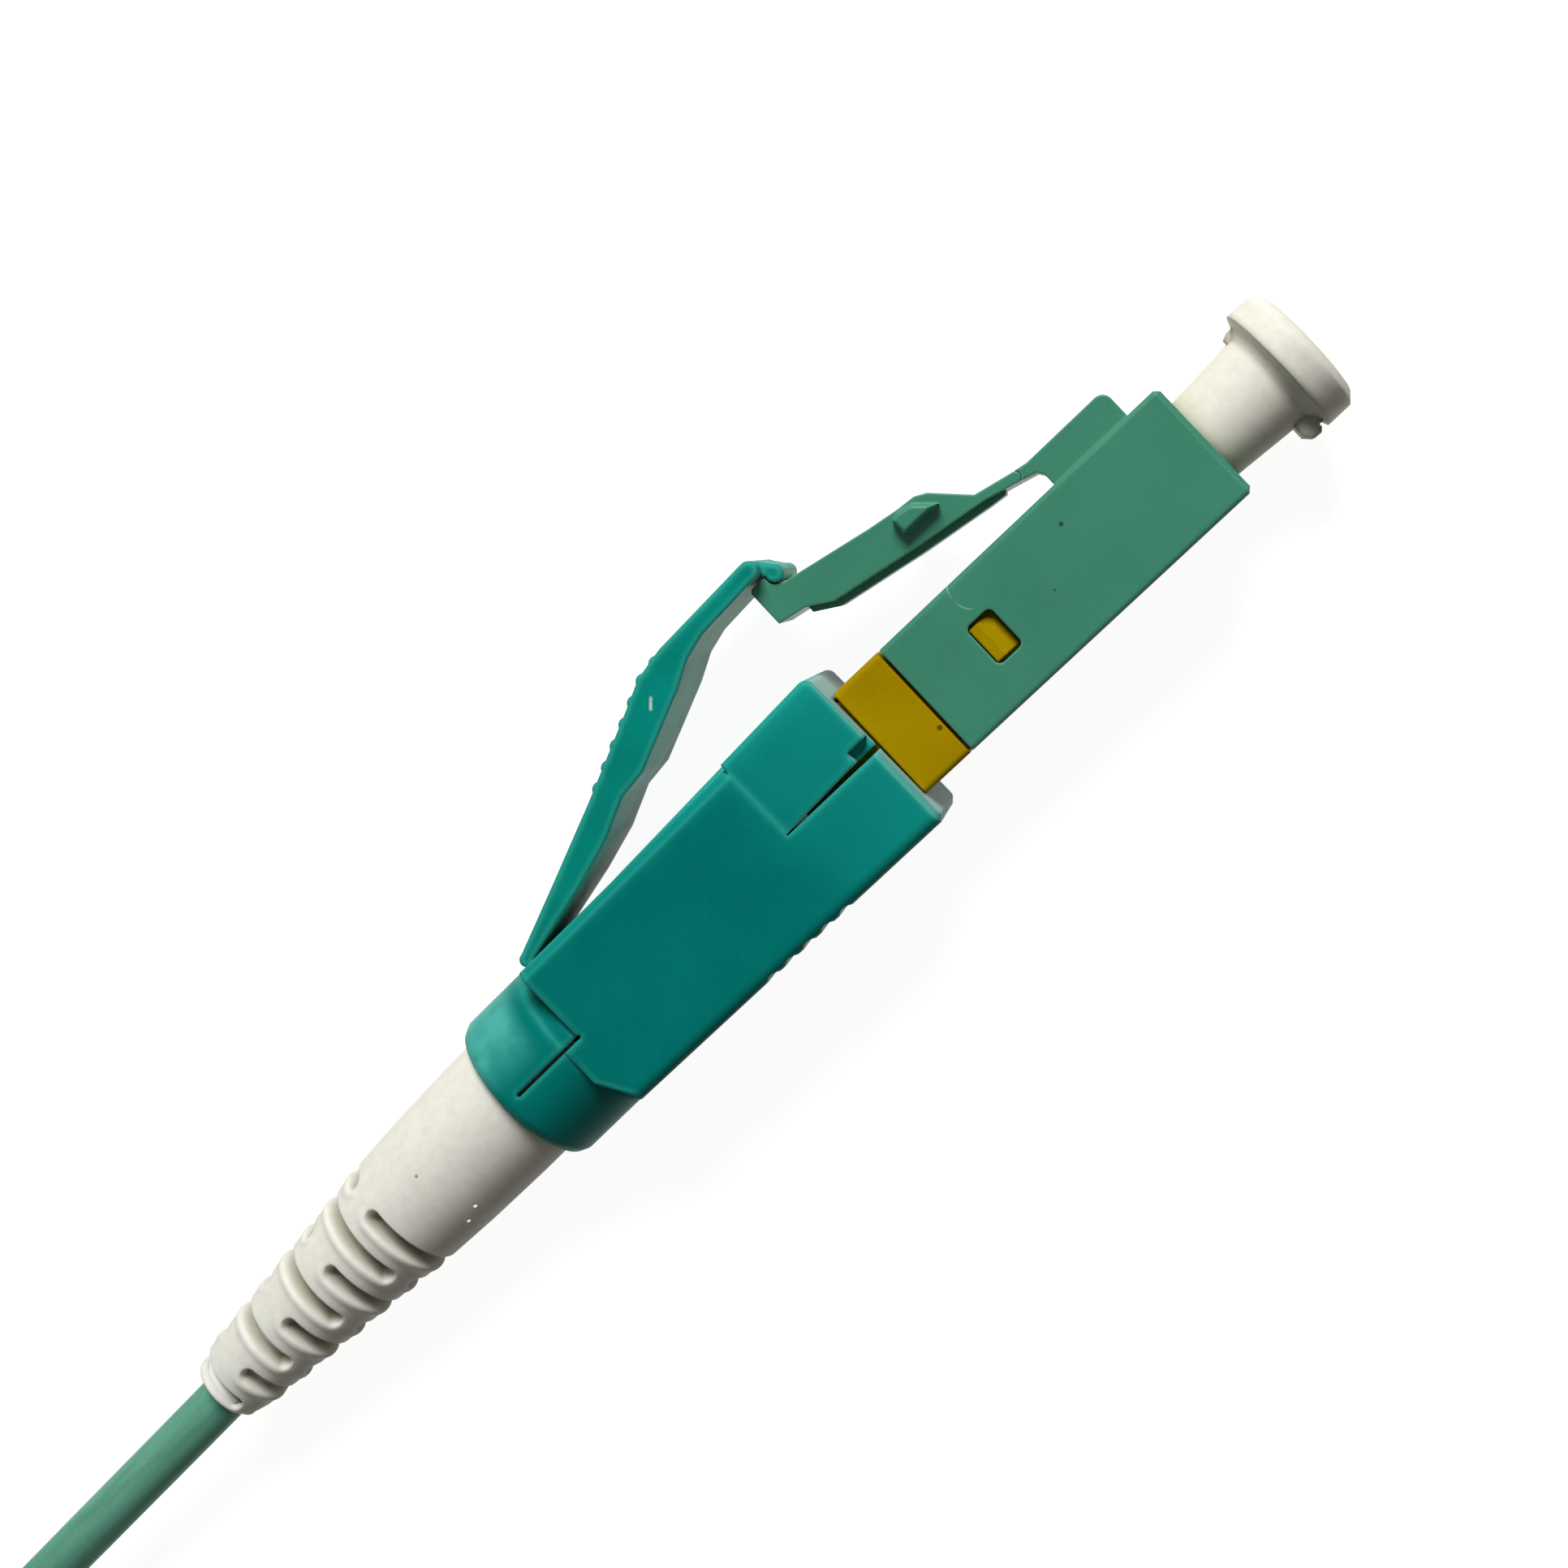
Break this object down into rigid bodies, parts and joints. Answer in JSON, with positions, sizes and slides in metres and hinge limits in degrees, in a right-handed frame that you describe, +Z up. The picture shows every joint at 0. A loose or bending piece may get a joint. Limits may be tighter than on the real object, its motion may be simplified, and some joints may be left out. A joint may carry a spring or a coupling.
{
  "type": "fibre optic connector",
  "caption": "Simplex push-pull fibre connector with a square latching plug, rear trigger clip, slotted bend relief boot, white dust cap and thin round cord.",
  "frame": {"origin": "middle of the front face of the plug housing, on the ferrule axis", "axes": "+X forward along the ferrule, +Y to the latch and trigger, +Z up when the connector lies on the flank of its clip"},
  "size_m": [0.0884, 0.0246, 0.0096],
  "materials": {
    "housing_plastic": "fine moulded, green aqua",
    "zirconia": "polished",
    "nickel_plate": "nickel plated",
    "fibre_glass": "clear",
    "yellow_plastic": "fine moulded",
    "spring_steel": "drawn wire",
    "yarn": "loose aramid",
    "buffer_plastic": "smooth",
    "clip_plastic": "satin moulded, teal",
    "boot_rubber": "soft off-white",
    "cap_plastic": "soft white",
    "jacket": "smooth aqua green",
    "tie_plastic": "white"
  },
  "bodies": {
    "connector": {"plug_housing": "housing_plastic", "inner_body": "yellow_plastic", "crimp_sleeve": "nickel_plate", "aramid_yarn": "yarn", "tight_buffer": "buffer_plastic", "spring": "spring_steel", "clip_shell": "clip_plastic", "boot": "boot_rubber", "cable": "jacket", "cable_coil": "jacket", "coil_tie": "tie_plastic"},
    "latch": {"latch_arm": "housing_plastic"},
    "press_trigger": {"trigger": "clip_plastic"},
    "ferrule_unit": {"ferrule": "zirconia", "ferrule_flange": "nickel_plate", "optical_fibre": "fibre_glass"},
    "cap": {"dust_cap": "cap_plastic"}
  },
  "joints": [
    {"name": "trigger_press", "type": "hinge", "parent": "connector", "child": "press_trigger", "pos_m": [-0.02823, 0.00286, 0], "axis": [0, 0, -1], "range_deg": [0, 5.2], "stiffness_Nm_per_rad": 0.01},
    {"name": "latch_flex", "type": "hinge", "parent": "connector", "child": "latch", "pos_m": [-0.0052, 0.00332, 0], "axis": [0, 0, 1], "range_deg": [0, 9.5], "stiffness_Nm_per_rad": 0.01},
    {"name": "ferrule_float", "type": "slide", "parent": "connector", "child": "ferrule_unit", "axis": [-1, 0, 0], "range_m": [0, 0.0008], "stiffness_N_per_m": 1200, "springref_m": -0.004, "deforming": ["spring", "tight_buffer"]},
    {"name": "dust_cap_pull", "type": "slide", "parent": "connector", "child": "cap", "axis": [1, 0, 0], "range_m": [0, 0.008]}
  ],
  "couplings": [
    {"joint": "latch_flex", "follows": "trigger_press", "ratio": 1.75}
  ]
}
